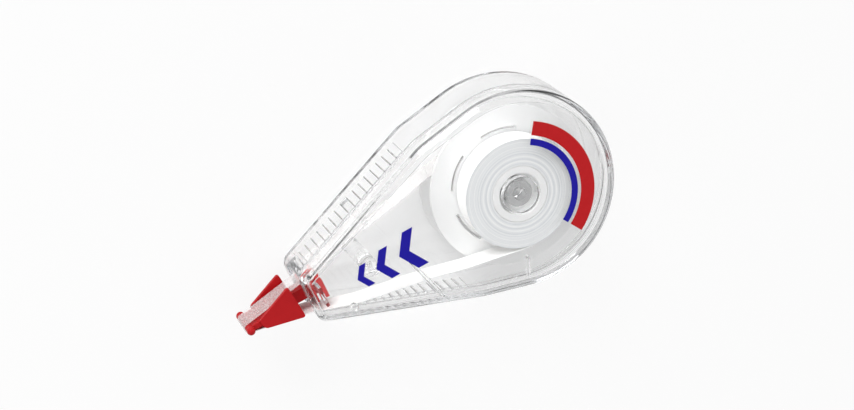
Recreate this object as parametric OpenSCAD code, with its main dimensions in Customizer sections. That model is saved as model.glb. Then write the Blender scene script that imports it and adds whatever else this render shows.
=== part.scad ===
// Clear-cased correction tape. The case lies on its back shell: +X points to the round rear end,
// +Y to the upper grip and +Z out of the front face. The origin is the centre of the round end,
// on the back face. A full reel of coated tape sits in front of the reel that takes up the bare
// backing; both turn on one axle, and the tape runs round the edge of the red applicator head.

/* [Case] */
// Radius of the round rear end
rear_r = 18.5; // [18:0.5:21]
// From the centre of the round end to the end of the nose
nose_x = 42; // [40:0.5:48]
// Height of the nose at its end
nose_h = 9.8; // [9.6:0.1:11]
// How far the nose's middle line lies above the centre of the round end
nose_rise = 0.6; // [0:0.1:1]
// Radius of the corners of the nose
nose_corner_r = 2; // [1.8:0.1:2.6]
// Radius of the shoulders, where the straight grips end
shoulder_r = 9; // [7:0.5:10]
// How far the shoulders' centres lie ahead of the centre of the round end
shoulder_x = 10.6; // [9:0.2:12]
// How far the shoulders' centres lie from the nose's middle line
shoulder_y = 7.3; // [6.8:0.1:8]
// Wall of both shells
wall = 1.2; // [1:0.1:1.5]
// Rounding of the outer edges
edge_r = 1.6; // [0.8:0.1:1.8]
// Depth of the back shell, from the back face to the parting line
back_depth = 10.5; // [9.5:0.1:11]
// Thickness of the front shell's lip
lip_t = 0.55; // [0.4:0.05:0.7]
// How far the lip reaches into the back shell
lip_h = 0.9; // [0.6:0.1:1.4]

/* [Grip ribs] */
// Spacing of the ribs along a grip
rib_pitch = 1.6; // [1.2:0.1:2.4]
// Radius of one rib
rib_r = 1.7; // [1.4:0.05:2]
// How far a rib stands out of the flank
rib_proud = 0.2; // [0.1:0.02:0.24]
// Plain flank left between the nose corner and the first rib
rib_margin = 1.2; // [0.8:0.2:4]
// Height above the back face at which the ribs start
rib_foot = 4.2; // [2:0.1:7]

/* [Tape and reels] */
// Width of the tape
tape_w = 5; // [4.2:0.1:6]
// Thickness of one run of tape
film_t = 0.12; // [0.08:0.01:0.2]
// Radius of the full roll of coated tape
roll_r = 10.2; // [8:0.1:11]
// Radius of the core that carries the roll
core_r = 5.2; // [4.9:0.1:6]
// Radius of the recess in the end of the core
recess_r = 3.9; // [3.7:0.1:4.2]
// Depth left under that recess
core_floor = 1.6; // [1:0.1:3]
// Radius of the core's sleeve, which passes through the take-up reel
sleeve_r = 3.4; // [3.2:0.05:3.6]
// Bore of the take-up reel's hub
hub_bore_r = 4.6; // [4.4:0.05:4.9]
// Outside radius of that hub
hub_r = 5.8; // [5.5:0.1:7]
// How far the edge of the take-up drum lies inside the edge of the full roll
drum_step = 0.1; // [0:0.05:1]
// Wall of the take-up drum
drum_wall = 1; // [0.8:0.1:1.5]
// Depth of the backing already wound on the drum
wound_t = 0.4; // [0.2:0.1:0.8]
// Radius of the take-up reel's two flanges
flange_r = 15; // [13.5:0.1:15.5]
// Thickness of those flanges
flange_t = 0.7; // [0.5:0.05:1]
// Number of spokes in the take-up reel
spoke_count = 6; // [3:1:9]
// Thickness of a spoke
spoke_t = 0.8; // [0.5:0.1:1.2]
// How far the spokes end below the drum's edge
spoke_drop = 1; // [0.5:0.1:3]
// Number of arc slots in the take-up reel's front flange
slot_count = 6; // [3:1:8]
// Angle that each slot covers
slot_angle = 36; // [20:1:40]
// Width of a slot
slot_w = 0.5; // [0.4:0.1:1.2]
// How far the reels' axle lies below the centre of the round end
axis_drop = 0.9; // [0:0.1:1]
// Radius of the axle
axle_r = 2.5; // [2:0.05:2.6]
// Radius of the front shell's pin in the end of the axle
axle_pin_r = 1.2; // [0.8:0.05:1.4]

/* [Applicator head] */
// From the end of the nose to the centre of the working edge
head_reach = 11.3; // [9:0.1:13]
// How far the working edge lies below the nose's middle line
head_drop = 0.3; // [0:0.05:0.35]
// Radius of the working edge
bar_r = 0.7; // [0.5:0.05:0.8]
// How far the working edge is skewed across the case, in degrees
head_skew = 0.5; // [0:0.5:6]
// Thickness of a cheek
cheek_t = 0.7; // [0.5:0.05:0.9]
// Height of the cheeks above the working edge
cheek_up = 3.9; // [2.5:0.1:4.5]
// Depth of the cheeks below the working edge
cheek_down = 2.8; // [2.5:0.1:3.6]
// Half height of the stem that enters the nose
stem_half_h = 1.1; // [0.8:0.1:1.4]
// Half width of that stem
stem_half_w = 1.6; // [1.2:0.1:2]
// Half height of the stem's two anchor plates
anchor_half_h = 2; // [1.7:0.1:2.1]
// Half width of the anchor plates
anchor_half_w = 3; // [2.4:0.1:3.4]
// Thickness of the front anchor plate
anchor_front_t = 1.6; // [1:0.1:1.8]
// Thickness of the rear anchor plate
anchor_rear_t = 1; // [0.8:0.1:1.4]
// Thickness of the ribs that hold the stem between its plates
keeper_t = 0.6; // [0.5:0.05:0.9]

/* [Fits] */
// Radial clearance of a turning fit
turn_fit = 0.05; // [0.03:0.01:0.09]
// End play between faces that turn past each other
end_play = 0.3; // [0.2:0.05:0.4]
// Clearance between pieces that are pushed together
push_fit = 0.08; // [0.05:0.01:0.12]
// Gap between a run of tape and what it passes
tape_gap = 0.15; // [0.1:0.01:0.2]

/* [Hidden] */
$fn = 96;

clear_plastic = [0.88, 0.93, 0.96, 0.35];
milky_plastic = [0.93, 0.94, 0.94];
coated_tape = [0.98, 0.98, 0.97];
bare_backing = [0.9, 0.88, 0.86];
clutch_rubber = [0.16, 0.16, 0.17];
head_red = [0.75, 0.1, 0.12];

// A small overlap that joins solids of one piece, and a cut's reach past a face
join = 0.1;
past = 1;
hair = 0.04;

// The stack along the axle, from the back face to the front face
takeup_z0 = wall + end_play;
drum_z0 = takeup_z0 + flange_t;
drum_z1 = drum_z0 + tape_w + 2 * tape_gap;
flange_z1 = drum_z1 + flange_t;
roll_z0 = flange_z1 + end_play;
roll_z1 = roll_z0 + tape_w;
lid_z = roll_z1 + end_play;
case_t = lid_z + wall;
takeup_mid_z = (drum_z0 + drum_z1) / 2;
roll_mid_z = (roll_z0 + roll_z1) / 2;

// The axle ends inside the core's recess, and the front shell's boss stops just above it
axle_drop = 0.9;
boss_gap = 0.5;
recess_z = roll_z0 + core_floor;
axle_top = roll_z1 - axle_drop;
boss_z = axle_top + end_play;
axle_pin_l = 4;
boss_r = recess_r - boss_gap;

// The corners of the outline, each as [x, y, radius], counterclockwise from the rear
corners = [
    [0, 0, rear_r],
    [-shoulder_x, nose_rise + shoulder_y, shoulder_r],
    [nose_corner_r - nose_x, nose_rise + nose_h / 2 - nose_corner_r, nose_corner_r],
    [nose_corner_r - nose_x, nose_rise - nose_h / 2 + nose_corner_r, nose_corner_r],
    [-shoulder_x, nose_rise - shoulder_y, shoulder_r]
];
upper_grip = [corners[1], corners[2]];
lower_grip = [corners[3], corners[4]];
edge_steps = 5;
wrap_steps = 16;

// The axle, and the tape's two turning circles and its working edge, as [x, y, radius]
axle = [0, -axis_drop];
drum_r = roll_r - drum_step;
wound_r = drum_r + wound_t;
roll_circle = [axle.x, axle.y, roll_r + tape_gap];
wound_circle = [axle.x, axle.y, wound_r + tape_gap];
bar_circle = [-nose_x - head_reach, nose_rise - head_drop, bar_r + push_fit];

// The applicator head, measured back from its working edge
head_z = case_t / 2;
cheek_play = 0.6;
cheek_stop = 1.5;
cheek_lean = 0.55;
cheek_toe = [2.15, 0.85];
cheek_chin = [2.4, -1];
cheek_gap = tape_w / 2 + cheek_play;
cheek_back = head_reach - cheek_stop;
cheek_top = cheek_back - cheek_lean;
web_t = 1.6;
web_half_h = 1.3;
blade_back_half_h = 1;
knob_proud = 0.08;
knob_r = bar_r + knob_proud;
tape_stop = 0.8;
tape_leave = head_reach - tape_stop;
anchor_inset = 0.5;
anchor_front_x = anchor_inset - nose_x;
keeper_x = anchor_front_x + anchor_front_t + push_fit;
anchor_rear_x = keeper_x + keeper_t + push_fit;

// The mouth in the nose that the stem and the tape pass through
mouth_play = 1.6;
mouth_side = tape_w / 2 + mouth_play;
mouth_rim = 0.8;
mouth_half_h = nose_h / 2 - mouth_rim;
mouth_depth = 3;
tape_way_l = 6;

// Pins and guides inside the case, as [x, y]
nose_boss = [-29.7, 0.9];
nose_boss_r = 1.5;
nose_pin_r = 0.75;
nose_pin_l = 3;
guide_post = [-26.7, 7.5];
guide_post_r = 0.6;
lid_stud = [-35.5, -4.3];
lid_stud_r = 0.7;
lid_rib_h = 1;
lid_rib_t = 0.7;
long_rib = [[-23.5, 0], [-20.8, -8.6]];
short_rib = [[-3.6, -12.6], [-4.7, -15.4]];

// Direction of the outward normal of the line that touches circles a and b on the right of a to b
function tangent_angle(a, b) =
    atan2(b.y - a.y, b.x - a.x) - acos((a.z - b.z) / norm([b.x - a.x, b.y - a.y]));

// The point of circle c in a direction, moved inwards
function rim_point(c, angle, inset = 0) =
    [c.x + (c.z - inset) * cos(angle), c.y + (c.z - inset) * sin(angle)];

// The ways the two runs of tape face, and the turn left between them round the working edge
lower_t = tangent_angle(bar_circle, roll_circle);
upper_t = tangent_angle(wound_circle, bar_circle);
wrap_gap = 4;

// The straight sides that join the corners of the outline
function straight_sides(inset) = [
    for (i = [0 : len(corners) - 1])
        let (a = corners[i], b = corners[(i + 1) % len(corners)], t = tangent_angle(a, b))
            each [rim_point(a, t, inset), rim_point(b, t, inset)]
];

// The outline of the case, moved inwards
module outline(inset) {
    polygon(straight_sides(inset));
    for (c = corners)
        translate([c.x, c.y])
            circle(r = c.z - inset);
}

// The row of ribs along one grip, seen from the front
module grip_ribs(grip) {
    t = tangent_angle(grip[0], grip[1]);
    a = rim_point(grip[0], t, rib_r - rib_proud);
    b = rim_point(grip[1], t, rib_r - rib_proud);
    from_nose = a.x < b.x ? b - a : a - b;
    nose_end = a.x < b.x ? a : b;
    step = from_nose / norm(from_nose);
    for (s = [rib_margin : rib_pitch : norm(from_nose)])
        translate(nose_end + step * s)
            circle(r = rib_r, $fn = 64);
}

// The disc at one corner of the outline, rounded round its foot and a hair inside the wall above it
module corner_disc(c) {
    flat_r = c.z - edge_r - hair;
    arc = [for (i = [0 : edge_steps]) let (a = 90 * i / edge_steps)
        [flat_r + edge_r * sin(a), edge_r * (1 - cos(a))]];
    translate([c.x, c.y])
        rotate_extrude()
            polygon(concat([[0, 0]], arc, [[0, edge_r]]));
}

// One half of the case without its cavity, flat at height h and rounded round its foot
module shell_blank(h) {
    hull()
        for (c = corners)
            corner_disc(c);
    translate([0, 0, edge_r])
        linear_extrude(h - edge_r)
            outline(0);
}

// The opening in the end of the nose, with a slot in its lower side that the coated run passes through
module mouth() {
    out = [cos(lower_t), sin(lower_t)];
    along = [-out.y, out.x];
    start = rim_point(bar_circle, lower_t) + along * (head_reach - past);
    end = start + along * (past + tape_way_l);
    translate([-nose_x - past, nose_rise - mouth_half_h, head_z - mouth_side])
        cube([mouth_depth + past, 2 * mouth_half_h, 2 * mouth_side]);
    translate([0, 0, head_z - mouth_side])
        linear_extrude(2 * mouth_side)
            polygon([
                start - out * tape_gap,
                start + out * (film_t + tape_gap),
                end + out * (film_t + tape_gap),
                end - out * tape_gap
            ]);
}

// The rib that stands between the stem's anchor plates, from z0 to z1
module keeper(z0, z1) {
    translate([keeper_x, nose_rise - anchor_half_h, z0])
        cube([keeper_t, 2 * anchor_half_h, z1 - z0]);
}

// A straight rib on the inside of the front shell
module lid_rib(ends) {
    run = ends[1] - ends[0];
    translate([ends[0].x, ends[0].y, lid_z - lid_rib_h])
        rotate([0, 0, atan2(run.y, run.x)])
            translate([0, -lid_rib_t / 2, 0])
                cube([norm(run), lid_rib_t, lid_rib_h + join]);
}

// Deep back shell, with the axle, the nose boss and a guide post moulded on
module back_shell() {
    color(clear_plastic) {
        difference() {
            union() {
                shell_blank(back_depth);
                translate([0, 0, rib_foot])
                    linear_extrude(back_depth - rib_foot) {
                        grip_ribs(upper_grip);
                        grip_ribs(lower_grip);
                    }
            }
            translate([0, 0, wall])
                linear_extrude(back_depth)
                    outline(wall);
            translate([0, 0, back_depth - lip_h])
                linear_extrude(lip_h + past)
                    outline(wall - lip_t);
            mouth();
        }
        difference() {
            translate([axle.x, axle.y, wall - join])
                cylinder(r = axle_r, h = axle_top - wall + join);
            translate([axle.x, axle.y, boss_z - axle_pin_l - push_fit])
                cylinder(r = axle_pin_r + push_fit, h = axle_pin_l + past);
        }
        difference() {
            translate([nose_boss.x, nose_boss.y, wall - join])
                cylinder(r = nose_boss_r, h = back_depth - wall + join);
            translate([nose_boss.x, nose_boss.y, back_depth - nose_pin_l - push_fit])
                cylinder(r = nose_pin_r + push_fit, h = nose_pin_l + past);
        }
        translate([guide_post.x, guide_post.y, wall - join])
            cylinder(r = guide_post_r, h = back_depth - wall + join);
        keeper(wall - join, head_z - stem_half_w - push_fit);
    }
}

// Front shell, with its lip, its pins and its inner ribs
module front_shell() {
    color(clear_plastic) {
        difference() {
            translate([0, 0, case_t])
                mirror([0, 0, 1])
                    shell_blank(case_t - back_depth);
            translate([0, 0, back_depth - past])
                linear_extrude(lid_z - back_depth + past)
                    outline(wall);
            mouth();
        }
        difference() {
            translate([0, 0, back_depth - lip_h + push_fit])
                linear_extrude(lip_h)
                    difference() {
                        outline(wall - lip_t + push_fit);
                        outline(wall);
                    }
            mouth();
        }
        translate([axle.x, axle.y, boss_z])
            cylinder(r = boss_r, h = lid_z - boss_z + join);
        translate([axle.x, axle.y, boss_z - axle_pin_l])
            cylinder(r = axle_pin_r, h = axle_pin_l + join);
        translate([nose_boss.x, nose_boss.y, back_depth + push_fit])
            cylinder(r = nose_boss_r, h = lid_z - back_depth - push_fit + join);
        translate([nose_boss.x, nose_boss.y, back_depth - nose_pin_l])
            cylinder(r = nose_pin_r, h = nose_pin_l + push_fit + join);
        translate([lid_stud.x, lid_stud.y, lid_z - lid_rib_h])
            cylinder(r = lid_stud_r, h = lid_rib_h + join);
        lid_rib(long_rib);
        lid_rib(short_rib);
        keeper(head_z + stem_half_w + push_fit, lid_z + join);
    }
}

// Core of the supply reel: a recessed core, and a sleeve that runs down the axle
module supply_core() {
    color(milky_plastic)
        translate([axle.x, axle.y])
            difference() {
                union() {
                    translate([0, 0, takeup_z0])
                        cylinder(r = sleeve_r, h = roll_z0 - takeup_z0 + join);
                    translate([0, 0, roll_z0])
                        cylinder(r = core_r, h = tape_w);
                }
                translate([0, 0, takeup_z0 - past])
                    cylinder(r = axle_r + turn_fit, h = roll_z1 - takeup_z0 + 2 * past);
                translate([0, 0, recess_z])
                    cylinder(r = recess_r, h = tape_w);
            }
}

// A closed band of wound tape between two radii
module wound_band(r0, r1, mid_z) {
    translate([axle.x, axle.y, mid_z])
        linear_extrude(tape_w, center = true)
            difference() {
                circle(r = r1);
                circle(r = r0);
            }
}

// Full roll of coated tape on the core
module tape_roll() {
    color(coated_tape)
        wound_band(core_r + turn_fit, roll_r, roll_mid_z);
}

// Rubber ring between the sleeve and the take-up hub: it drags the take-up reel and slips
module clutch_ring() {
    color(clutch_rubber)
        translate([axle.x, axle.y, takeup_mid_z])
            rotate_extrude()
                translate([(sleeve_r + hub_bore_r) / 2, 0])
                    circle(r = (hub_bore_r - sleeve_r) / 2 - turn_fit, $fn = 32);
}

// Take-up reel: rear flange, hub, spokes and drum in one moulding
module takeup_spool() {
    spoke_r0 = (hub_bore_r + hub_r) / 2;
    spoke_r1 = drum_r - drum_wall / 2;
    color(milky_plastic)
        translate([axle.x, axle.y, takeup_z0])
            difference() {
                union() {
                    cylinder(r = flange_r, h = flange_t);
                    cylinder(r = hub_r, h = drum_z1 - takeup_z0);
                    linear_extrude(drum_z1 - takeup_z0)
                        difference() {
                            circle(r = drum_r);
                            circle(r = drum_r - drum_wall);
                        }
                    for (i = [0 : spoke_count - 1])
                        rotate([0, 0, 360 * i / spoke_count])
                            translate([spoke_r0, -spoke_t / 2, 0])
                                cube([spoke_r1 - spoke_r0, spoke_t, drum_z1 - takeup_z0 - spoke_drop]);
                }
                translate([0, 0, -past])
                    cylinder(r = hub_bore_r, h = case_t);
            }
}

// Front flange of the take-up reel, pushed on, with a ring of arc slots just outside the winding
module takeup_flange() {
    slot_r0 = wound_r + tape_gap;
    reach = 2 * flange_r;
    color(milky_plastic)
        translate([axle.x, axle.y, drum_z1])
            linear_extrude(flange_t)
                difference() {
                    circle(r = flange_r);
                    circle(r = hub_bore_r);
                    for (i = [0 : slot_count - 1])
                        rotate(360 * i / slot_count)
                            intersection() {
                                difference() {
                                    circle(r = slot_r0 + slot_w);
                                    circle(r = slot_r0);
                                }
                                polygon([[0, 0], [reach, 0], reach * [cos(slot_angle), sin(slot_angle)]]);
                            }
                }
}

// Bare backing already wound on the take-up drum
module takeup_winding() {
    color(bare_backing)
        wound_band(drum_r + turn_fit, wound_r, takeup_mid_z);
}

// Puts its children at the middle of the working edge, turned by the head's skew
module at_working_edge() {
    translate([bar_circle.x, bar_circle.y, head_z])
        rotate([0, -head_skew, 0])
            children();
}

// One of the two cheeks that guide the tape, seen from the side
module cheek_profile() {
    polygon([[cheek_top, cheek_up], cheek_toe, cheek_chin, [cheek_back, -cheek_down]]);
}

// Red applicator head: two cheeks, a blade that ends in the working edge, and an anchored stem
module applicator_head() {
    color(head_red) {
        at_working_edge() {
            for (side = [0, 1])
                mirror([0, 0, side])
                    translate([0, 0, cheek_gap]) {
                        linear_extrude(cheek_t)
                            cheek_profile();
                        translate([0, 0, cheek_t])
                            sphere(r = knob_r, $fn = 32);
                    }
            cylinder(r = bar_r, h = 2 * cheek_gap + 2 * cheek_t, center = true);
            translate([0, 0, -cheek_gap - join])
                linear_extrude(2 * cheek_gap + 2 * join)
                    polygon([[0, bar_r / 2], [0, -bar_r / 2],
                             [cheek_top, -blade_back_half_h], [cheek_top, blade_back_half_h]]);
            translate([cheek_top - web_t, -web_half_h, -cheek_gap - join])
                cube([web_t, 2 * web_half_h, 2 * cheek_gap + 2 * join]);
        }
        stem_x0 = bar_circle.x + cheek_top - web_t;
        stem_x1 = anchor_rear_x + anchor_rear_t;
        translate([stem_x0, nose_rise - stem_half_h, head_z - stem_half_w])
            cube([stem_x1 - stem_x0, 2 * stem_half_h, 2 * stem_half_w]);
        for (plate = [[anchor_front_x, anchor_front_t], [anchor_rear_x, anchor_rear_t]])
            translate([plate[0], nose_rise - anchor_half_h, head_z - anchor_half_w])
                cube([plate[1], 2 * anchor_half_h, 2 * anchor_half_w]);
    }
}

// The four corners of the tape's section at a point p of its inner face, facing n, its width along w
function section(p, n, w) = [
    p - w * tape_w / 2,
    p + w * tape_w / 2,
    p + w * tape_w / 2 + n * film_t,
    p - w * tape_w / 2 + n * film_t
];

// A direction turned by the head's skew
function skewed(v) = [
    v.x * cos(head_skew) - v.z * sin(head_skew),
    v.y,
    v.x * sin(head_skew) + v.z * cos(head_skew)
];

// The way a run of tape faces, and the way it leads to the reels
function facing(t) = [cos(t), sin(t), 0];
function leading(t) = [abs(sin(t)), -sign(sin(t)) * cos(t), 0];

// The tape's section between the cheeks, a distance behind the working edge
function section_at_head(t, back) = section(
    [bar_circle.x, bar_circle.y, head_z] + skewed(bar_circle.z * facing(t) + back * leading(t)),
    skewed(facing(t)),
    skewed([0, 0, 1])
);

// The tape's section a distance short of the reel that it runs to
function section_at_reel(t, reel, reel_z, short = 0) = section(
    [each rim_point(reel, t), reel_z] - short * leading(t),
    facing(t),
    [0, 0, 1]
);

// The length of tape that lies square to the axle, because it passes the flanges there
function past_flange(reel) = sqrt((flange_r + end_play) ^ 2 - reel.z ^ 2);

// A strip through a list of sections
module tape_strip(sections) {
    last = 4 * (len(sections) - 1);
    sides = [
        for (i = [0 : len(sections) - 2], k = [0 : 3])
            let (a0 = 4 * i + k, a1 = 4 * i + (k + 1) % 4)
                each [[a0, a0 + 4, a1 + 4], [a0, a1 + 4, a1]]
    ];
    ends = [[0, 1, 2], [0, 2, 3], [last + 2, last + 1, last], [last + 3, last + 2, last]];
    polyhedron([for (s = sections) each s], concat(sides, ends));
}

// Coated tape from the roll to the underside of the working edge, where its coating comes off
module supply_ribbon() {
    color(coated_tape)
        tape_strip([
            section_at_head(lower_t, 0),
            section_at_head(lower_t, tape_leave),
            section_at_reel(lower_t, roll_circle, roll_mid_z, past_flange(roll_circle)),
            section_at_reel(lower_t, roll_circle, roll_mid_z)
        ]);
}

// Bare backing round the working edge and on to the take-up reel
module return_ribbon() {
    wrap = lower_t + 360 - wrap_gap - upper_t;
    color(bare_backing)
        tape_strip([
            section_at_reel(upper_t, wound_circle, takeup_mid_z),
            section_at_reel(upper_t, wound_circle, takeup_mid_z, past_flange(wound_circle)),
            section_at_head(upper_t, tape_leave),
            for (i = [0 : wrap_steps])
                section_at_head(upper_t + wrap * i / wrap_steps, 0)
        ]);
}

back_shell();
front_shell();
supply_core();
tape_roll();
clutch_ring();
takeup_spool();
takeup_flange();
takeup_winding();
applicator_head();
supply_ribbon();
return_ribbon();
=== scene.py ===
"""Looks of a clear-cased correction tape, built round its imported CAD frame.

The tool lies on its back shell: +X points to the round rear end, +Y to the upper grip and +Z out of
the front face. Sizes are in millimetres and are turned to metres where a mesh is made.
"""

import math

import bmesh
import bpy
from mathutils import Matrix, Quaternion, Vector


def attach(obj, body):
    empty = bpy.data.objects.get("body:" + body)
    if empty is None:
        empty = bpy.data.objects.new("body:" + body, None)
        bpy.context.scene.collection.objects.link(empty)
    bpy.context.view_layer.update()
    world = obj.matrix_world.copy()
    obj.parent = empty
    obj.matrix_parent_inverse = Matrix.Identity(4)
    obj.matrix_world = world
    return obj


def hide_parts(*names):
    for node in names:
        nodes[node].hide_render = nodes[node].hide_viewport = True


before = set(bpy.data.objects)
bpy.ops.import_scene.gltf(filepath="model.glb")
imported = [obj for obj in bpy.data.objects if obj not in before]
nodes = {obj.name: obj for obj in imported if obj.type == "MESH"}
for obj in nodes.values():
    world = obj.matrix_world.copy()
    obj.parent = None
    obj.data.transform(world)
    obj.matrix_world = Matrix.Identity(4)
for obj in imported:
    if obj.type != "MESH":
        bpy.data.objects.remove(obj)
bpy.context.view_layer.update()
scene = bpy.context.scene
scene.view_settings.view_transform = "Standard"
# Light runs a long way inside the clear walls before it comes out
scene.cycles.max_bounces = 48
scene.cycles.glossy_bounces = 40
scene.cycles.transmission_bounces = 40

MM = 0.001

# Case, as the CAD source has it
REAR_R = 18.5
NOSE_X = 42.0
NOSE_H = 9.8
NOSE_RISE = 0.6
NOSE_CORNER_R = 2.0
SHOULDER_R = 9.0
SHOULDER_X = 10.6
SHOULDER_Y = 7.3
WALL = 1.2
EDGE_R = 1.6
PARTING_Z = 10.5
CASE_T = 15.0
LIP_T = 0.55
LIP_H = 0.9
LID_Z = CASE_T - WALL
MOUTH_HALF = 4.1
MOUTH_CORNER = 0.5
MOUTH_DEPTH = 3.0
SLOT_L = 7.0

# Forms of the case that only the eye needs
FACE_MARGIN = 0.25
BACK_FILLET = 0.6
FRONT_FILLET = 1.0
NOSE_FILLET = 0.4
FILLET_FROM_X = -40.0
FILLET_TAPER = 32.0
LID_STEP = 0.3
EDGE_BREAK = 0.12
PARTING_GAP = 0.05

# How finely the case is drawn: steps of its rounded parts, and points for each degree of an arc
EDGE_STEPS = 7
RUN_IN_STEPS = 4
FILLET_STEPS = 6
STRAIGHT_STEPS = 4
ARC_STEPS_MIN = 6
LARGE_R = 5.0
LARGE_ARC_RATE = 0.4
SMALL_ARC_RATE = 0.13
SHARP_ANGLE = math.radians(32)

# Grip ribs
RIB_PITCH = 1.6
RIB_CROWN = 4.0
RIB_PROUD = 0.2
RIB_GROOVE = 0.24
RIB_MARGIN = 1.2
RIB_FOOT = 4.2
RIB_SAMPLES = 6
RIB_RUN_IN = 0.8

# Reels and tape
AXLE = Vector((0.0, -0.9, 0.0))
AXLE_R = 2.5
TAPE_W = 5.0
ROLL_R = 10.2
CORE_R = 5.2
ROLL_Z = 8.5
DRUM_R = 10.1
WOUND_R = 10.5
WOUND_Z = 2.35
FLANGE_R = 15.0
TAPE_GAP = 0.15
WIND_FIT = 0.05
FILM_T = 0.12
FLANGE_CLEAR = 0.3
BARE_FROM = math.radians(4)
WRAP_STEPS = 28
RUN_STEPS = 40
# The coated run crosses over to the level of the roll in two parts: shares of the run, and of the crossing
EARLY_CROSSING = 0.74
EARLY_END = 0.35
LATE_START = 0.75

# Applicator head
HEAD_REACH = 11.3
HEAD_DROP = 0.3
BAR_R = 0.7
HEAD_SKEW = math.radians(0.5)
HEAD_Z = CASE_T / 2
PUSH_FIT = 0.08
TAPE_LEAVE = 10.5
CHEEK_T = 0.7
PLATE_CORNER = 0.6
STEM_HALF = 1.68


def linear(hex_colour):
    """An sRGB hex colour as the linear colour that a shader takes."""
    parts = [int(hex_colour[i : i + 2], 16) / 255 for i in (1, 3, 5)]
    return [p / 12.92 if p <= 0.04045 else ((p + 0.055) / 1.055) ** 2.4 for p in parts] + [1.0]


def add_node(tree, kind, inputs=None, **settings):
    """Adds a node with its settings; an input is a value or the output socket that feeds it."""
    made = tree.nodes.new(kind)
    for name, value in settings.items():
        setattr(made, name, value)
    for name, value in (inputs or {}).items():
        if isinstance(value, bpy.types.NodeSocket):
            tree.links.new(value, made.inputs[name])
        else:
            made.inputs[name].default_value = value
    return made


def new_material(name):
    """An empty material and its node tree."""
    made = bpy.data.materials.new(name)
    made.use_nodes = True
    made.node_tree.nodes.clear()
    return made, made.node_tree


def show(tree, shader, inside=None):
    """Makes a shader the surface of its material, and another what fills it."""
    shown = {"Surface": shader.outputs[0]}
    if inside:
        shown["Volume"] = inside.outputs[0]
    add_node(tree, "ShaderNodeOutputMaterial", shown)


def clear_polystyrene():
    """Polystyrene moulded in a polished tool: water clear, with thin dark lines at its edges."""
    made, tree = new_material("clear_moulded_polystyrene")
    place = add_node(tree, "ShaderNodeTexCoord")
    # Melt that cools unevenly leaves slow ripples, about 14 mm apart
    flow = add_node(
        tree, "ShaderNodeTexNoise", {"Vector": place.outputs["Object"], "Scale": 1 / (14 * MM), "Detail": 1.0}
    )
    ripple = add_node(tree, "ShaderNodeBump", {"Height": flow.outputs["Fac"], "Strength": 0.02, "Distance": 0.1 * MM})
    # Handling leaves a faint haze in patches of about 3 mm
    haze = add_node(
        tree, "ShaderNodeTexNoise", {"Vector": place.outputs["Object"], "Scale": 1 / (3 * MM), "Detail": 4.0}
    )
    gloss = add_node(
        tree,
        "ShaderNodeMapRange",
        {"Value": haze.outputs["Fac"], "From Min": 0.45, "From Max": 0.8, "To Min": 0.0, "To Max": 0.05},
    )
    shader = add_node(
        tree,
        "ShaderNodeBsdfPrincipled",
        {
            "Base Color": linear("#FFFFFF"),
            "Roughness": gloss.outputs["Result"],
            "IOR": 1.59,
            "Transmission Weight": 1.0,
            "Normal": ripple.outputs["Normal"],
        },
    )
    # Light that runs along the walls comes out a cool grey
    depth = add_node(tree, "ShaderNodeVolumeAbsorption", {"Color": linear("#E4E9EE"), "Density": 10.0})
    show(tree, shader, depth)
    return made


def milky_polypropylene():
    """Natural polypropylene, moulded: milky and a little see-through, with a soft satin face."""
    made, tree = new_material("milky_moulded_polypropylene")
    place = add_node(tree, "ShaderNodeTexCoord")
    cloud = add_node(
        tree, "ShaderNodeTexNoise", {"Vector": place.outputs["Object"], "Scale": 1 / (4 * MM), "Detail": 3.0}
    )
    tint = add_node(
        tree,
        "ShaderNodeMix",
        {"Factor": cloud.outputs["Fac"], 6: linear("#F8F9F9"), 7: linear("#FEFEFE")},
        data_type="RGBA",
    )
    # The spark-eroded face of the tool, drawn at 0.25 mm so that it shows
    grain = add_node(
        tree, "ShaderNodeTexNoise", {"Vector": place.outputs["Object"], "Scale": 1 / (0.25 * MM), "Detail": 2.0}
    )
    satin = add_node(tree, "ShaderNodeBump", {"Height": grain.outputs["Fac"], "Strength": 0.05, "Distance": 0.05 * MM})
    shader = add_node(
        tree,
        "ShaderNodeBsdfPrincipled",
        {
            "Base Color": tint.outputs[2],
            "Roughness": 0.38,
            "IOR": 1.49,
            "Transmission Weight": 0.15,
            "Normal": satin.outputs["Normal"],
        },
    )
    show(tree, shader)
    return made


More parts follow.
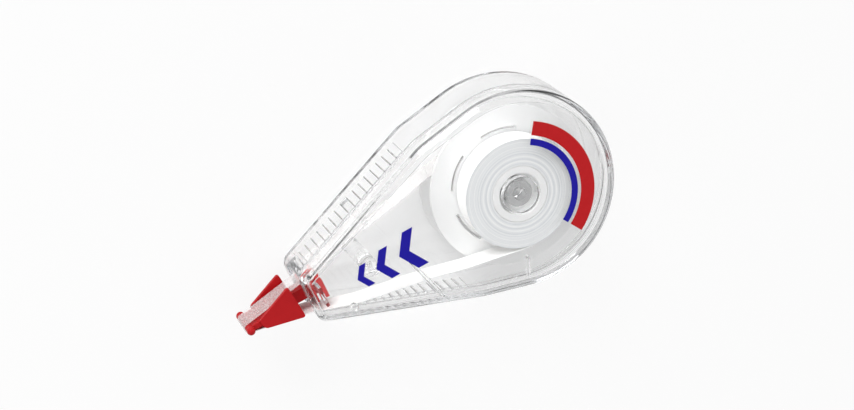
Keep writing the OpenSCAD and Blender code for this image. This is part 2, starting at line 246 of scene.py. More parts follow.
def coated_film():
    """Polyester film with a dried white coating: dead white and matt, its wound edges shown as rings."""
    made, tree = new_material("white_coated_film")
    place = add_node(tree, "ShaderNodeTexCoord")
    on_axle = add_node(tree, "ShaderNodeVectorMath", {0: place.outputs["Object"], 1: AXLE * -MM}, operation="ADD")
    across = add_node(
        tree, "ShaderNodeVectorMath", {0: on_axle.outputs["Vector"], 1: (1, 1, 0)}, operation="MULTIPLY"
    )
    radius = add_node(tree, "ShaderNodeVectorMath", {0: across.outputs["Vector"]}, operation="LENGTH")
    # One turn of film is 0.04 mm, so the rings are drawn at 0.45 mm to show
    rings = add_node(
        tree,
        "ShaderNodeTexNoise",
        {"W": radius.outputs["Value"], "Scale": 1 / (0.45 * MM), "Detail": 2.0, "Roughness": 0.6},
        noise_dimensions="1D",
    )
    ring_mark = add_node(
        tree, "ShaderNodeMapRange", {"Value": rings.outputs["Fac"], "From Min": 0.3, "From Max": 0.7}
    )
    ring_tint = add_node(
        tree,
        "ShaderNodeMix",
        {"Factor": ring_mark.outputs["Result"], 6: linear("#D3D6D9"), 7: linear("#F1F2F2")},
        data_type="RGBA",
    )
    # The film's clear edges show on the ends of a roll only, where the surface faces along the axle
    surface = add_node(tree, "ShaderNodeNewGeometry")
    along = add_node(tree, "ShaderNodeSeparateXYZ", {"Vector": surface.outputs["Normal"]})
    end_face = add_node(tree, "ShaderNodeMath", {0: along.outputs["Z"]}, operation="ABSOLUTE")
    tint = add_node(
        tree,
        "ShaderNodeMix",
        {"Factor": end_face.outputs["Value"], 6: linear("#FDFDFC"), 7: ring_tint.outputs[2]},
        data_type="RGBA",
    )
    # Chalky pigment, drawn at 0.15 mm so that it shows
    chalk = add_node(
        tree, "ShaderNodeTexNoise", {"Vector": place.outputs["Object"], "Scale": 1 / (0.15 * MM), "Detail": 2.0}
    )
    grain = add_node(tree, "ShaderNodeBump", {"Height": chalk.outputs["Fac"], "Strength": 0.08, "Distance": 0.03 * MM})
    shader = add_node(
        tree,
        "ShaderNodeBsdfPrincipled",
        {"Base Color": tint.outputs[2], "Roughness": 0.7, "IOR": 1.5, "Normal": grain.outputs["Normal"]},
    )
    show(tree, shader)
    return made


def bare_film():
    """Polyester backing after the coating has come off: thin, glossy, see-through and finely speckled."""
    made, tree = new_material("bare_polyester_film")
    place = add_node(tree, "ShaderNodeTexCoord")
    # Specks of coating that stay on the film, about 0.3 mm across
    specks = add_node(
        tree, "ShaderNodeTexNoise", {"Vector": place.outputs["Object"], "Scale": 1 / (0.3 * MM), "Detail": 3.0}
    )
    tint = add_node(
        tree,
        "ShaderNodeMix",
        {"Factor": specks.outputs["Fac"], 6: linear("#EFE9E8"), 7: linear("#FFFFFF")},
        data_type="RGBA",
    )
    cover = add_node(
        tree,
        "ShaderNodeMapRange",
        {"Value": specks.outputs["Fac"], "From Min": 0.3, "From Max": 0.7, "To Min": 0.16, "To Max": 0.46},
    )
    grain = add_node(tree, "ShaderNodeBump", {"Height": specks.outputs["Fac"], "Strength": 0.1, "Distance": 0.03 * MM})
    shader = add_node(
        tree,
        "ShaderNodeBsdfPrincipled",
        {
            "Base Color": tint.outputs[2],
            "Roughness": 0.3,
            "IOR": 1.6,
            "Alpha": cover.outputs["Result"],
            "Normal": grain.outputs["Normal"],
        },
    )
    show(tree, shader)
    return made


def clutch_rubber():
    """Nitrile rubber ring, moulded: dark, dull and faintly grainy."""
    made, tree = new_material("moulded_nitrile_rubber")
    place = add_node(tree, "ShaderNodeTexCoord")
    # Talc left on the rubber, in patches of about 0.3 mm
    grain = add_node(
        tree, "ShaderNodeTexNoise", {"Vector": place.outputs["Object"], "Scale": 1 / (0.3 * MM), "Detail": 2.0}
    )
    tint = add_node(
        tree,
        "ShaderNodeMix",
        {"Factor": grain.outputs["Fac"], 6: linear("#26262A"), 7: linear("#38383C")},
        data_type="RGBA",
    )
    dull = add_node(tree, "ShaderNodeBump", {"Height": grain.outputs["Fac"], "Strength": 0.15, "Distance": 0.05 * MM})
    shader = add_node(
        tree,
        "ShaderNodeBsdfPrincipled",
        {"Base Color": tint.outputs[2], "Roughness": 0.65, "Normal": dull.outputs["Normal"]},
    )
    show(tree, shader)
    return made


def red_acetal():
    """Acetal coloured in the melt: an even strong red with a soft satin gloss."""
    made, tree = new_material("red_moulded_acetal")
    place = add_node(tree, "ShaderNodeTexCoord")
    cloud = add_node(
        tree, "ShaderNodeTexNoise", {"Vector": place.outputs["Object"], "Scale": 1 / (2 * MM), "Detail": 3.0}
    )
    tint = add_node(
        tree,
        "ShaderNodeMix",
        {"Factor": cloud.outputs["Fac"], 6: linear("#B4141A"), 7: linear("#C21A1F")},
        data_type="RGBA",
    )
    # Fine texture of the tool, drawn at 0.2 mm so that it shows
    texture = add_node(
        tree, "ShaderNodeTexNoise", {"Vector": place.outputs["Object"], "Scale": 1 / (0.2 * MM), "Detail": 2.0}
    )
    satin = add_node(
        tree, "ShaderNodeBump", {"Height": texture.outputs["Fac"], "Strength": 0.06, "Distance": 0.04 * MM}
    )
    shader = add_node(
        tree,
        "ShaderNodeBsdfPrincipled",
        {
            "Base Color": tint.outputs[2],
            "Roughness": 0.45,
            "IOR": 1.48,
            "Specular IOR Level": 0.2,
            "Normal": satin.outputs["Normal"],
        },
    )
    show(tree, shader)
    return made


def pad_ink(name, low, high):
    """Pad-printed ink: a thin opaque coat with a slight orange peel and small changes of depth."""
    made, tree = new_material(name)
    place = add_node(tree, "ShaderNodeTexCoord")
    coat = add_node(
        tree, "ShaderNodeTexNoise", {"Vector": place.outputs["Object"], "Scale": 1 / (0.8 * MM), "Detail": 3.0}
    )
    tint = add_node(
        tree,
        "ShaderNodeMix",
        {"Factor": coat.outputs["Fac"], 6: linear(low), 7: linear(high)},
        data_type="RGBA",
    )
    peel = add_node(tree, "ShaderNodeBump", {"Height": coat.outputs["Fac"], "Strength": 0.05, "Distance": 0.02 * MM})
    shader = add_node(
        tree,
        "ShaderNodeBsdfPrincipled",
        {
            "Base Color": tint.outputs[2],
            "Roughness": 0.45,
            "IOR": 1.5,
            "Specular IOR Level": 0.15,
            "Normal": peel.outputs["Normal"],
        },
    )
    show(tree, shader)
    return made


CLEAR = clear_polystyrene()
MILKY = milky_polypropylene()
COATED = coated_film()
BARE = bare_film()
RUBBER = clutch_rubber()
RED = red_acetal()
RED_INK = pad_ink("red_pad_ink", "#BC171C", "#C71E23")
BLUE_INK = pad_ink("blue_pad_ink", "#1A1298", "#221AA8")


def ease(t):
    """A smooth step from 0 to 1."""
    t = min(max(t, 0.0), 1.0)
    return t * t * (3 - 2 * t)


def loft(bm, rings):
    """Closed skin through rings of points, with a flat cap on the first and on the last."""
    made = [[bm.verts.new(p * MM) for p in ring] for ring in rings]
    count = len(rings[0])
    for low, high in zip(made, made[1:]):
        for i in range(count):
            j = (i + 1) % count
            bm.faces.new((low[i], low[j], high[j], high[i]))
    bm.faces.new(list(reversed(made[0])))
    bm.faces.new(made[-1])


def turned(bm, centre, profile, steps=48):
    """Closed skin turned about an upright axis; the profile is a list of (radius, height), both ends capped."""
    turn = [2 * math.pi * i / steps for i in range(steps)]
    rings = []
    for radius, z in profile:
        rings.append([Vector((centre.x + radius * math.cos(a), centre.y + radius * math.sin(a), z)) for a in turn])
    loft(bm, rings)


def band(bm, centre, section, steps):
    """Closed ring turned about an upright axis from a closed section of (radius, height) points."""
    made = []
    for i in range(steps):
        a = 2 * math.pi * i / steps
        made.append([
            bm.verts.new(Vector((centre.x + r * math.cos(a), centre.y + r * math.sin(a), z)) * MM) for r, z in section
        ])
    for i in range(steps):
        here, there = made[i], made[(i + 1) % steps]
        for k in range(len(section)):
            n = (k + 1) % len(section)
            bm.faces.new((here[k], there[k], there[n], here[n]))


def upright(bm, outline, z0, z1):
    """Closed prism between two heights over a flat outline."""
    loft(bm, [[Vector((x, y, z)) for x, y in outline] for z in (z0, z1)])


def as_object(name, bm):
    """A mesh object from what a bmesh holds, with its faces turned outwards."""
    bmesh.ops.recalc_face_normals(bm, faces=bm.faces)
    mesh = bpy.data.meshes.new(name)
    bm.to_mesh(mesh)
    bm.free()
    made = bpy.data.objects.new(name, mesh)
    scene.collection.objects.link(made)
    return made


def joined(base, adds=(), cuts=()):
    """The base with other solids added and cut away, as one skin."""
    for operation, tools in (("UNION", adds), ("DIFFERENCE", cuts)):
        for tool in tools:
            step = base.modifiers.new(operation, "BOOLEAN")
            step.operation = operation
            step.solver = "EXACT"
            step.object = tool
    result = bpy.data.meshes.new_from_object(base.evaluated_get(bpy.context.evaluated_depsgraph_get()))
    base.modifiers.clear()
    base.data = result
    for tool in (*adds, *cuts):
        bpy.data.objects.remove(tool)
    return base


def dressed(piece, material, body, replaced=None):
    """Gives a piece its smooth shading, its material and the body that it rides on."""
    piece.data.shade_smooth()
    piece.data.set_sharp_from_angle(angle=SHARP_ANGLE)
    even = piece.modifiers.new("even_faces", "WEIGHTED_NORMAL")
    even.keep_sharp = True
    piece.data.materials.clear()
    piece.data.materials.append(material)
    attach(piece, body)
    if replaced:
        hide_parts(replaced)
    return piece


# The corners of the case's outline as (x, y, radius), counterclockwise from the rear
CORNERS = [
    (0.0, 0.0, REAR_R),
    (-SHOULDER_X, NOSE_RISE + SHOULDER_Y, SHOULDER_R),
    (NOSE_CORNER_R - NOSE_X, NOSE_RISE + NOSE_H / 2 - NOSE_CORNER_R, NOSE_CORNER_R),
    (NOSE_CORNER_R - NOSE_X, NOSE_RISE - NOSE_H / 2 + NOSE_CORNER_R, NOSE_CORNER_R),
    (-SHOULDER_X, NOSE_RISE - SHOULDER_Y, SHOULDER_R),
]
UPPER_GRIP = 1
LOWER_GRIP = 3


def tangent_angle(a, b):
    """Direction of the outward normal of the line that touches circles a and b on the right of a to b."""
    dx, dy = b[0] - a[0], b[1] - a[1]
    return math.atan2(dy, dx) - math.acos((a[2] - b[2]) / math.hypot(dx, dy))


def facing(angle):
    """The flat direction at an angle."""
    return Vector((math.cos(angle), math.sin(angle), 0))


def rim_point(c, angle):
    """The point of circle c in a direction."""
    return Vector((c[0] + c[2] * math.cos(angle), c[1] + c[2] * math.sin(angle), 0))


# The tape's turning circles and the working edge, as (x, y, radius)
ROLL_CIRCLE = (AXLE.x, AXLE.y, ROLL_R + TAPE_GAP)
WOUND_CIRCLE = (AXLE.x, AXLE.y, WOUND_R + TAPE_GAP)
BAR_CIRCLE = (-NOSE_X - HEAD_REACH, NOSE_RISE - HEAD_DROP, BAR_R + PUSH_FIT)
LOWER_RUN = tangent_angle(BAR_CIRCLE, ROLL_CIRCLE)
UPPER_RUN = tangent_angle(WOUND_CIRCLE, BAR_CIRCLE)
BAR = Vector((BAR_CIRCLE[0], BAR_CIRCLE[1], HEAD_Z))
SKEW = Matrix.Rotation(-HEAD_SKEW, 3, "Y")


def rib_profile(length):
    """One grip's ribs from its nose end on, as (distance, height): low crowns, a narrow groove between them."""
    profile = []
    half = RIB_PITCH / 2
    flank = half - RIB_GROOVE / 2
    for k in range(math.floor((length - RIB_MARGIN - half) / RIB_PITCH) + 1):
        middle = RIB_MARGIN + k * RIB_PITCH
        profile.append((middle - half, 0.0))
        for i in range(RIB_SAMPLES + 1):
            off = flank * (2 * i / RIB_SAMPLES - 1)
            profile.append((middle + off, RIB_PROUD - off**2 / (2 * RIB_CROWN)))
    profile.append((profile[-1][0] + RIB_GROOVE / 2, 0.0))
    return profile


def case_outline():
    """The outline of the case as (point, outward normal, height of the rib there)."""
    path = []
    count = len(CORNERS)
    for i, corner in enumerate(CORNERS):
        following = CORNERS[(i + 1) % count]
        start = tangent_angle(CORNERS[i - 1], corner)
        end = tangent_angle(corner, following)
        while end < start:
            end += 2 * math.pi
        rate = LARGE_ARC_RATE if corner[2] > LARGE_R else SMALL_ARC_RATE
        steps = max(ARC_STEPS_MIN, round(math.degrees(end - start) * rate))
        for k in range(steps):
            a = start + (end - start) * k / steps
            path.append((rim_point(corner, a), facing(a), 0.0))
        a, b = rim_point(corner, end), rim_point(following, end)
        length = (b - a).length
        stops = [(length * k / STRAIGHT_STEPS, 0.0) for k in range(STRAIGHT_STEPS)]
        if i == UPPER_GRIP:
            stops = [(0.0, 0.0)] + [(length - along, height) for along, height in reversed(rib_profile(length))]
        elif i == LOWER_GRIP:
            stops = [(0.0, 0.0)] + rib_profile(length)
        for along, height in stops:
            path.append((a.lerp(b, along / length), facing(end), height))
    return path


OUTLINE = case_outline()


def outline_ring(inset, z, ribs=0.0):
    """The outline moved inwards, at a height, with a share of its ribs."""
    return [p - n * (inset - h * ribs) + Vector((0, 0, z)) for p, n, h in OUTLINE]


def fillet_ring(fillet, a):
    """One ring of the fillet between the wall and the inner face, which gets smaller towards the nose."""
    ring = []
    for p, n, _ in OUTLINE:
        size = NOSE_FILLET + (fillet - NOSE_FILLET) * ease((p.x - FILLET_FROM_X) / FILLET_TAPER)
        ring.append(p - n * (WALL + size * (1 - math.cos(a))) + Vector((0, 0, WALL + size * (1 - math.sin(a)))))
    return ring


def shell_rings(height, lip_outer, lip_drop, ribbed, fillet):
    """Rings of one half of the case from the middle of its face, over its rim and lip, to its inner face.

    Heights count from the face; the lip stands above the rim, or is a step below it."""
    ribs = 1 if ribbed else 0
    foot = RIB_FOOT if ribbed else EDGE_R
    rings = [outline_ring(EDGE_R + FACE_MARGIN, 0)]
    for k in range(EDGE_STEPS + 1):
        a = math.pi / 2 * k / EDGE_STEPS
        rings.append(outline_ring(EDGE_R * (1 - math.sin(a)), EDGE_R * (1 - math.cos(a))))
    for k in range(RUN_IN_STEPS + 1):
        share = k / RUN_IN_STEPS
        rings.append(outline_ring(0, foot + RIB_RUN_IN * share, ribs * math.sin(math.pi / 2 * share)))
    rim = height - PARTING_GAP / 2
    rings.append(outline_ring(0, rim - EDGE_BREAK, ribs))
    rings.append(outline_ring(EDGE_BREAK * 0.3, rim - EDGE_BREAK * 0.3, ribs))
    rings.append(outline_ring(EDGE_BREAK, rim, ribs))
    rings.append(outline_ring(lip_outer, rim))
    rings.append(outline_ring(lip_outer, height + lip_drop))
    rings.append(outline_ring(WALL, height + lip_drop))
    for k in range(FILLET_STEPS + 1):
        rings.append(fillet_ring(fillet, math.pi / 2 * k / FILLET_STEPS))
    if not ribbed:
        # The lid is a little thinner inside its rim, which draws a fine line round its window
        rings.append([p - Vector((0, 0, LID_STEP)) for p in rings[-1]])
    return rings


def shell_blank(name, height, lip_outer, lip_drop, face_up):
    """One half of the case: the back half lies on its face, the front half is turned over."""
    bm = bmesh.new()
    rings = shell_rings(height, lip_outer, lip_drop, not face_up, FRONT_FILLET if face_up else BACK_FILLET)
    if face_up:
        rings = [[Vector((p.x, p.y, CASE_T - p.z)) for p in ring] for ring in rings]
    loft(bm, rings)
    return as_object(name, bm)


def post(name, centre, profile, steps=48):
    """A turned post, boss or pin."""
    bm = bmesh.new()
    turned(bm, centre, profile, steps)
    return as_object(name, bm)


def block(name, x0, x1, y0, y1, z0, z1, corner=0.15):
    """An upright bar with its four upright corners rounded."""
    bm = bmesh.new()
    left, right, low, high = x0 + corner, x1 - corner, y0 + corner, y1 - corner
    outline = []
    for turn, (cx, cy) in enumerate(((right, high), (left, high), (left, low), (right, low))):
        for k in range(5):
            a = math.pi / 2 * (turn + k / 4)
            outline.append((cx + corner * math.cos(a), cy + corner * math.sin(a)))
    upright(bm, outline, z0, z1)
    return as_object(name, bm)


# Shares of a lid rib's thickness at heights above its lower edge
LID_RIB_EASE = ((0.35, 0.0), (0.75, 0.1), (1.0, 0.35))


def inner_rib(name, start, end, thickness, z0, z1):
    """A straight rib with round ends on the inside of the front shell, its lower edges eased."""
    bm = bmesh.new()
    run = math.atan2(end[1] - start[1], end[0] - start[0])
    rings = []
    for share, z in [(share, z0 + rise) for share, rise in LID_RIB_EASE] + [(1.0, z1)]:
        ring = []
        for (cx, cy), turn in ((start, run + math.pi / 2), (end, run - math.pi / 2)):
            for k in range(9):
                a = turn + math.pi * k / 8
                reach = thickness / 2 * share
                ring.append(Vector((cx + reach * math.cos(a), cy + reach * math.sin(a), z)))
        rings.append(ring)
    loft(bm, rings)
    return as_object(name, bm)


def mouth_cutter(name):
    """The opening in the end of the nose, with rounded corners."""
    reach = MOUTH_HALF - MOUTH_CORNER
    bm = bmesh.new()
    outline = []
    for turn, (sy, sz) in enumerate(((1, 1), (-1, 1), (-1, -1), (1, -1))):
        for k in range(6):
            a = math.pi / 2 * (turn + k / 5)
            outline.append((
                NOSE_RISE + sy * reach + MOUTH_CORNER * math.cos(a),
                HEAD_Z + sz * reach + MOUTH_CORNER * math.sin(a),
            ))
    loft(bm, [[Vector((x, y, z)) for y, z in outline] for x in (-NOSE_X - 1, -NOSE_X + MOUTH_DEPTH)])
    return as_object(name, bm)


def tape_slot(name):
    """The slot in the lower side of that opening, along the way of the coated run."""
    out = facing(LOWER_RUN)
    along = Vector((-out.y, out.x, 0))
    start = rim_point(BAR_CIRCLE, LOWER_RUN) + along * (HEAD_REACH - 1)
    end = start + along * SLOT_L
    far = out * (FILM_T + TAPE_GAP)
    outline = [(p.x, p.y) for p in (start - out * TAPE_GAP, start + far, end + far, end - out * TAPE_GAP)]
    bm = bmesh.new()
    upright(bm, outline, HEAD_Z - MOUTH_HALF, HEAD_Z + MOUTH_HALF)
    return as_object(name, bm)


# Posts and pins inside the case
AXLE_TOP = 12.6
PIN_R = 1.2
BOSS_Z = 12.9
BOSS_R = 3.4
PIN_L = 4.0
PIN_Z = BOSS_Z - PIN_L
NOSE_BOSS = Vector((-29.7, 0.9, 0.0))
NOSE_BOSS_R = 1.5
NOSE_PIN_R = 0.75
NOSE_PIN_L = 3.0
GUIDE_POST = Vector((-26.7, 7.5, 0.0))
GUIDE_POST_R = 0.6
LID_STUD = Vector((-35.5, -4.3, 0.0))
LID_STUD_R = 0.7
LID_RIB_H = 1.0
LID_RIB_T = 0.7
LONG_RIB = ((-23.5, 0.0), (-20.3, -10.8))
SHORT_RIB = ((-3.6, -12.6), (-4.7, -15.4))
# How far a post goes into the wall that it stands on, and how much its tip is broken
SINK = 0.1
TIP = 0.1
LID_FOOT = LID_Z + LID_STEP + SINK
LID_RIB_Z = LID_Z - LID_RIB_H
KEEPER_X = (-39.82, -39.22)
KEEPER_HALF = 2.0
KEEPER_Y = (NOSE_RISE - KEEPER_HALF, NOSE_RISE + KEEPER_HALF)

back = shell_blank("back_shell_clear", PARTING_Z, WALL - LIP_T, -LIP_H, False)
joined(
    back,
    adds=[
        post(
            "axle",
            AXLE,
            [
                (AXLE_R + 0.3, WALL - SINK),
                (AXLE_R + 0.05, WALL + 0.1),
                (AXLE_R, WALL + 0.35),
                (AXLE_R, AXLE_TOP - 0.15),
                (AXLE_R - 0.15, AXLE_TOP),
            ],
            64,
        ),
        post(
            "nose_boss",
            NOSE_BOSS,
            [
                (NOSE_BOSS_R + 0.2, WALL - SINK),
                (NOSE_BOSS_R, WALL + 0.2),
                (NOSE_BOSS_R, PARTING_Z - TIP),
                (NOSE_BOSS_R - TIP, PARTING_Z),
            ],
        ),
        post(
            "guide_post",
            GUIDE_POST,
            [
                (GUIDE_POST_R + 0.15, WALL - SINK),
                (GUIDE_POST_R, WALL + 0.2),
                (GUIDE_POST_R, PARTING_Z - TIP),
                (GUIDE_POST_R - TIP, PARTING_Z),
            ],
            32,
        ),
        block("keeper", *KEEPER_X, *KEEPER_Y, WALL - SINK, HEAD_Z - STEM_HALF),
    ],
    cuts=[
        post("axle_bore", AXLE, [(PIN_R + PUSH_FIT, z) for z in (PIN_Z - PUSH_FIT, AXLE_TOP + 1)], 48),
        post(
            "nose_bore",
            NOSE_BOSS,
            [(NOSE_PIN_R + PUSH_FIT, z) for z in (PARTING_Z - NOSE_PIN_L - PUSH_FIT, PARTING_Z + 1)],
            32,
        ),
        mouth_cutter("mouth"),
        tape_slot("mouth_slot"),
    ],
)
dressed(back, CLEAR, "case", "back_shell")

front = shell_blank("front_shell_clear", CASE_T - PARTING_Z, WALL - LIP_T + PUSH_FIT, LIP_H - PUSH_FIT, True)
joined(
    front,
    adds=[
        post("lid_boss", AXLE, [(BOSS_R - TIP, BOSS_Z), (BOSS_R, BOSS_Z + TIP), (BOSS_R, LID_FOOT)], 64),
        post("lid_pin", AXLE, [(PIN_R - 0.2, PIN_Z), (PIN_R, PIN_Z + 0.3), (PIN_R, BOSS_Z + SINK)], 48),
        post(
            "nose_post",
            NOSE_BOSS,
            [(NOSE_BOSS_R - TIP, PARTING_Z + PUSH_FIT), (NOSE_BOSS_R, PARTING_Z + 0.2), (NOSE_BOSS_R, LID_FOOT)],
        ),
        post(
            "nose_pin",
            NOSE_BOSS,
            [
                (NOSE_PIN_R - 0.15, PARTING_Z - NOSE_PIN_L),
                (NOSE_PIN_R, PARTING_Z - NOSE_PIN_L + 0.3),
                (NOSE_PIN_R, PARTING_Z + 0.2),
            ],
            32,
        ),
        post(
            "lid_stud",
            LID_STUD,
            [(LID_STUD_R - TIP, LID_RIB_Z), (LID_STUD_R, LID_RIB_Z + TIP), (LID_STUD_R, LID_FOOT)],
            32,
        ),
        inner_rib("long_rib", *LONG_RIB, LID_RIB_T, LID_RIB_Z, LID_FOOT),
        inner_rib("short_rib", *SHORT_RIB, LID_RIB_T, LID_RIB_Z, LID_FOOT),
        block("lid_keeper", *KEEPER_X, *KEEPER_Y, HEAD_Z + STEM_HALF, LID_FOOT),
    ],
    cuts=[mouth_cutter("lid_mouth"), tape_slot("lid_slot")],
)
dressed(front, CLEAR, "case", "front_shell")

# Lamplight goes straight through the clear case to what is inside it
back.visible_shadow = False
front.visible_shadow = False


# Rounding of the mouldings, and the sizes below which points and faces of a mesh are one
HEAD_EDGE = 0.12
REEL_EDGE = 0.1
EDGE_ANGLE = math.radians(40)
FLAT_ANGLE = math.radians(1)
PLATE_TOLERANCE = 0.03
WELD = 0.002
NEEDLE_WELD = 0.006
NEEDLE = 0.004


def eased(node, name, edge, plate_t=None):
    """A copy of a CAD node with its sharp edges rounded, as they come out of a moulding tool.

    The upright corners of plates of a given thickness are rounded more."""
    bm = bmesh.new()
    bm.from_mesh(nodes[node].data)
    bmesh.ops.remove_doubles(bm, verts=bm.verts, dist=WELD * MM)
    bmesh.ops.dissolve_limit(bm, angle_limit=FLAT_ANGLE, verts=bm.verts, edges=bm.edges)
    if plate_t:
        corners = []
        for e in bm.edges:
            rise = abs(e.verts[0].co.z - e.verts[1].co.z)
            through = abs(e.calc_length() - plate_t * MM) < PLATE_TOLERANCE * MM
            if e.is_convex and through and rise > 0.98 * e.calc_length():
                corners.append(e)
        bmesh.ops.bevel(bm, geom=corners, offset=PLATE_CORNER * MM, segments=4, profile=0.5, affect="EDGES")
    sharp = [e for e in bm.edges if e.is_manifold and e.calc_face_angle() > EDGE_ANGLE]
    bmesh.ops.bevel(bm, geom=sharp, offset=edge * MM, segments=2, profile=0.5, affect="EDGES", clamp_overlap=True)
    # Needle faces that the rounding leaves where edges meet
    bmesh.ops.remove_doubles(bm, verts=bm.verts, dist=NEEDLE_WELD * MM)
    bmesh.ops.dissolve_degenerate(bm, dist=NEEDLE * MM, edges=bm.edges)
    return as_object(name, bm)


head = eased("applicator_head", "head_moulding", HEAD_EDGE, CHEEK_T)
dressed(head, RED, "case", "applicator_head")
core = eased("supply_core", "supply_core_moulding", REEL_EDGE)
dressed(core, MILKY, "supply_reel", "supply_core")
spool = eased("takeup_spool", "takeup_spool_moulding", REEL_EDGE)
dressed(spool, MILKY, "takeup_reel", "takeup_spool")
flange = eased("takeup_flange", "takeup_flange_moulding", REEL_EDGE)
dressed(flange, MILKY, "takeup_reel", "takeup_flange")
nodes["clutch_ring"].data.materials.clear()
nodes["clutch_ring"].data.materials.append(RUBBER)


def wound_film(name, r0, r1, z0, turns, depth):
    """A band of film wound tight, its ends stepped where the turns lie a little proud of each other."""
    z1 = z0 + TAPE_W
    low, high = [], []
    for k in range(turns + 1):
        r = r0 + (r1 - r0) * k / turns
        # Two waves that don't keep time, so that no two turns next to each other lie alike
        step = depth * (0.5 + 0.5 * math.sin(2.4 * k) * math.cos(0.7 * k))
        high.append((r, z1 - step))
        low.append((r, z0 + step))
    bm = bmesh.new()
    band(bm, AXLE, low + list(reversed(high)), 120)
    return as_object(name, bm)


roll = wound_film("supply_roll", CORE_R + WIND_FIT, ROLL_R, ROLL_Z, turns=26, depth=0.06)
dressed(roll, COATED, "supply_reel", "tape_roll")
winding = wound_film("takeup_turns", DRUM_R + WIND_FIT, WOUND_R, WOUND_Z, turns=6, depth=0.04)
dressed(winding, BARE, "takeup_reel", "takeup_winding")


def leading(angle):
    """The way a run of tape leads to the reels."""
    return Vector((abs(math.sin(angle)), -math.cos(angle) * math.copysign(1, math.sin(angle)), 0))


def tape_section(p, n, w):
    """The tape's section at a point of its inner face, facing n, its width along w, with its corners eased."""
    half, cut = TAPE_W / 2, FILM_T / 3
    inner = [(-half, cut), (-half + cut, 0), (half - cut, 0), (half, cut)]
    outer = [(across, FILM_T - out) for across, out in reversed(inner)]
    return [p + w * across + n * out for across, out in inner + outer]


def at_head(angle, back_off):
    """The tape's section between the cheeks, a distance behind the working edge."""
    reach = facing(angle) * BAR_CIRCLE[2] + leading(angle) * back_off
    return tape_section(BAR + SKEW @ reach, SKEW @ facing(angle), SKEW @ Vector((0, 0, 1)))


def at_reel(angle, circle, z, short):
    """The tape's section a distance short of the reel that it runs to."""
    p = rim_point(circle, angle) + Vector((0, 0, z)) - leading(angle) * short
    return tape_section(p, facing(angle), Vector((0, 0, 1)))


def crossing(t):
    """How far a run has crossed over to the level of its reel: most of it near the nose, the rest by the reel."""
    late = ease((t - LATE_START) / (1 - LATE_START))
    return EARLY_CROSSING * ease(t / EARLY_END) + (1 - EARLY_CROSSING) * late


def sections_between(a, b, steps):
    """Sections of a run that goes straight on while it crosses over to another level."""
    between = []
    for k in range(1, steps):
        t = k / steps
        flat = [p.lerp(q, t) for p, q in zip(a, b)]
        over = crossing(t)
        between.append([Vector((f.x, f.y, p.z + (q.z - p.z) * over)) for f, p, q in zip(flat, a, b)])
    return between


def strip(name, sections):
    """A run of tape through its sections."""
    bm = bmesh.new()
    loft(bm, sections)
    return as_object(name, bm)


def run_of_tape(angle, circle, z):
    """Sections of a straight run from the working edge to its reel."""
    leave = at_head(angle, TAPE_LEAVE)
    past_flange = math.sqrt((FLANGE_R + FLANGE_CLEAR) ** 2 - circle[2] ** 2)
    arrive = at_reel(angle, circle, z, past_flange)
    return [leave, *sections_between(leave, arrive, RUN_STEPS), arrive, at_reel(angle, circle, z, 0)]


# The coating comes off under the working edge, so the film that goes round it is bare
coated_run = strip(
    "coated_tape_run", [at_head(LOWER_RUN, 0)] + run_of_tape(LOWER_RUN, ROLL_CIRCLE, ROLL_Z + TAPE_W / 2)
)
dressed(coated_run, COATED, "case", "supply_ribbon")
wrap = LOWER_RUN + 2 * math.pi - BARE_FROM - UPPER_RUN
round_bar = [at_head(UPPER_RUN + wrap * k / WRAP_STEPS, 0) for k in range(WRAP_STEPS, -1, -1)]
backing_run = strip("backing_run", round_bar + run_of_tape(UPPER_RUN, WOUND_CIRCLE, WOUND_Z + TAPE_W / 2))
dressed(backing_run, BARE, "case", "return_ribbon")

# A plain two-colour print: arcs on both faces, and arrow marks on the front
INK_T = 0.015
PRINT_TURN = 58
RED_ARC = (11.2, 13.8)
BLUE_ARC = (9.4, 10.6)
# Tip, half height and width of each
ARROWS = ((-33.0, 2.2, 1.3), (-29.2, 3.0, 1.7), (-24.6, 3.8, 2.1))
ARROW_SLOPE = 0.6


def print_shape(name, outline, ink, z):
    """A flat printed shape on a face of the case."""
    bm = bmesh.new()
    upright(bm, outline, z, z + INK_T)
    return dressed(as_object(name, bm), ink, "case")


def arc_mark(r0, r1, start, end, steps=40):
    """A band round the axle between two radii and two angles in degrees."""
    turn = [math.radians(start + (end - start) * k / steps) for k in range(steps + 1)]
    outer = [(AXLE.x + r1 * math.cos(a), AXLE.y + r1 * math.sin(a)) for a in turn]
    inner = [(AXLE.x + r0 * math.cos(a), AXLE.y + r0 * math.sin(a)) for a in reversed(turn)]
    return outer + inner


def arrow_mark(tip_x, half_h, width):
    """A chevron that points to the applicator head."""
    y = NOSE_RISE
    slope = ARROW_SLOPE * half_h
    return [
        (tip_x, y),
        (tip_x + slope, y - half_h),
        (tip_x + slope + width, y - half_h),
        (tip_x + width, y),
        (tip_x + slope + width, y + half_h),
        (tip_x + slope, y + half_h),
    ]


for face, z in (("front", CASE_T), ("back", -INK_T)):
    print_shape(f"print_{face}_red_arc", arc_mark(*RED_ARC, -PRINT_TURN, PRINT_TURN), RED_INK, z)
    print_shape(f"print_{face}_blue_arc", arc_mark(*BLUE_ARC, -PRINT_TURN, PRINT_TURN), BLUE_INK, z)
for count, arrow in enumerate(ARROWS):
    print_shape(f"print_arrow_{count + 1}", arrow_mark(*arrow), BLUE_INK, CASE_T)


# How much of the floor's colour is its own white, seen straight and seen through clear plastic; its half
# side in metres, and how far it lies below the case so that the two faces don't fight
EYE_LIFT = 0.86
THROUGH_LIFT = 0.3
FLOOR_HALF = 1.5
FLOOR_DROP = 0.05


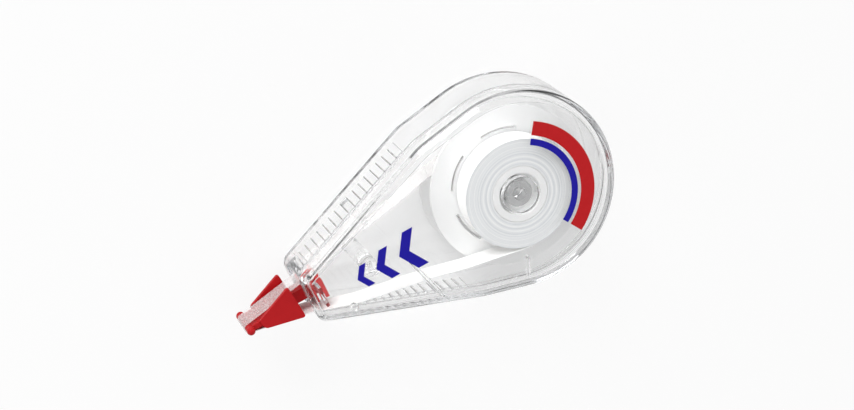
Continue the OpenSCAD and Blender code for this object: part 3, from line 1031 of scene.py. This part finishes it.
def studio_floor():
    """Matt white sweep that keeps the shadow: lifted to white for the eye, less so for what clear plastic shows."""
    made, tree = new_material("matt_white_sweep")
    path = add_node(tree, "ShaderNodeLightPath")
    through = add_node(
        tree,
        "ShaderNodeMath",
        {0: path.outputs["Is Glossy Ray"], 1: path.outputs["Is Transmission Ray"]},
        operation="MAXIMUM",
    )
    share = add_node(tree, "ShaderNodeMath", {0: through.outputs["Value"], 1: THROUGH_LIFT}, operation="MULTIPLY")
    lift = add_node(
        tree, "ShaderNodeMix", {"Factor": path.outputs["Is Camera Ray"], 2: share.outputs["Value"], 3: EYE_LIFT}
    )
    matt = add_node(tree, "ShaderNodeBsdfDiffuse", {"Color": linear("#F6F6F6")})
    white = add_node(tree, "ShaderNodeEmission", {"Strength": 1.0})
    both = add_node(tree, "ShaderNodeMixShader", {"Fac": lift.outputs[0], 1: matt.outputs[0], 2: white.outputs[0]})
    show(tree, both)
    return made


bm = bmesh.new()
bmesh.ops.create_grid(bm, x_segments=1, y_segments=1, size=FLOOR_HALF)
floor = as_object("floor", bm)
floor.location.z = -FLOOR_DROP * MM
floor.data.materials.append(studio_floor())

# A dim room, so that clear edges have something dark to show; its rear side is bright, and straight to
# the eye it is white
ROOM_DIM = 0.2
ROOM_BRIGHT = 0.9
REAR_SIDE = (0.95, -0.3, 0)
world = bpy.data.worlds.new("studio_room")
world.use_nodes = True
scene.world = world
room = world.node_tree
room.nodes.clear()
sky = add_node(room, "ShaderNodeTexCoord")
side = add_node(room, "ShaderNodeVectorMath", {0: sky.outputs["Generated"], 1: REAR_SIDE}, operation="DOT_PRODUCT")
walls = add_node(
    room,
    "ShaderNodeMapRange",
    {
        "Value": side.outputs["Value"],
        "From Min": -0.1,
        "From Max": 0.5,
        "To Min": ROOM_DIM,
        "To Max": ROOM_BRIGHT,
    },
    interpolation_type="SMOOTHSTEP",
)
seen = add_node(room, "ShaderNodeLightPath")
glow = add_node(room, "ShaderNodeMix", {"Factor": seen.outputs["Is Camera Ray"], 2: walls.outputs["Result"], 3: 1.0})
white = add_node(room, "ShaderNodeBackground", {"Color": linear("#FFFFFF"), "Strength": glow.outputs[0]})
add_node(room, "ShaderNodeOutputWorld", {"Surface": white.outputs[0]})

# Lamps, in metres and watts
LAMP_AIM = Vector((-0.015, 0, 0.007))


def softbox(name, place, size, power):
    """A square soft lamp that points at the middle of the case."""
    lamp = bpy.data.lights.new(name, "AREA")
    lamp.size = size
    lamp.energy = power
    made = bpy.data.objects.new(name, lamp)
    made.location = place
    made.rotation_mode = "QUATERNION"
    made.rotation_quaternion = (LAMP_AIM - Vector(place)).to_track_quat("-Z", "Y")
    scene.collection.objects.link(made)


softbox("key_softbox", (-0.1, 0.95, 0.4), size=0.5, power=6.0)
softbox("nose_softbox", (-0.75, 0.1, 0.75), size=1.0, power=4.4)

# Camera: a long lens, 26 degrees off the face's normal
EYE = Vector((-78.05, 181.43, 391.13)) * MM
AIM = Vector((-14.945, 3.197, 7.5)) * MM
ROLL = math.radians(25.32)
LENS = 101.09
forward = (AIM - EYE).normalized()
level = (Vector((0, 1, 0)) - forward * forward.y).normalized()
up = Quaternion(forward, ROLL) @ level
right = forward.cross(up)
lens = bpy.data.cameras.new("camera")
lens.lens = LENS
lens.sensor_width = 36
camera = bpy.data.objects.new("camera", lens)
camera.matrix_world = Matrix.Translation(EYE) @ Matrix((right, up, -forward)).transposed().to_4x4()
scene.collection.objects.link(camera)
scene.camera = camera
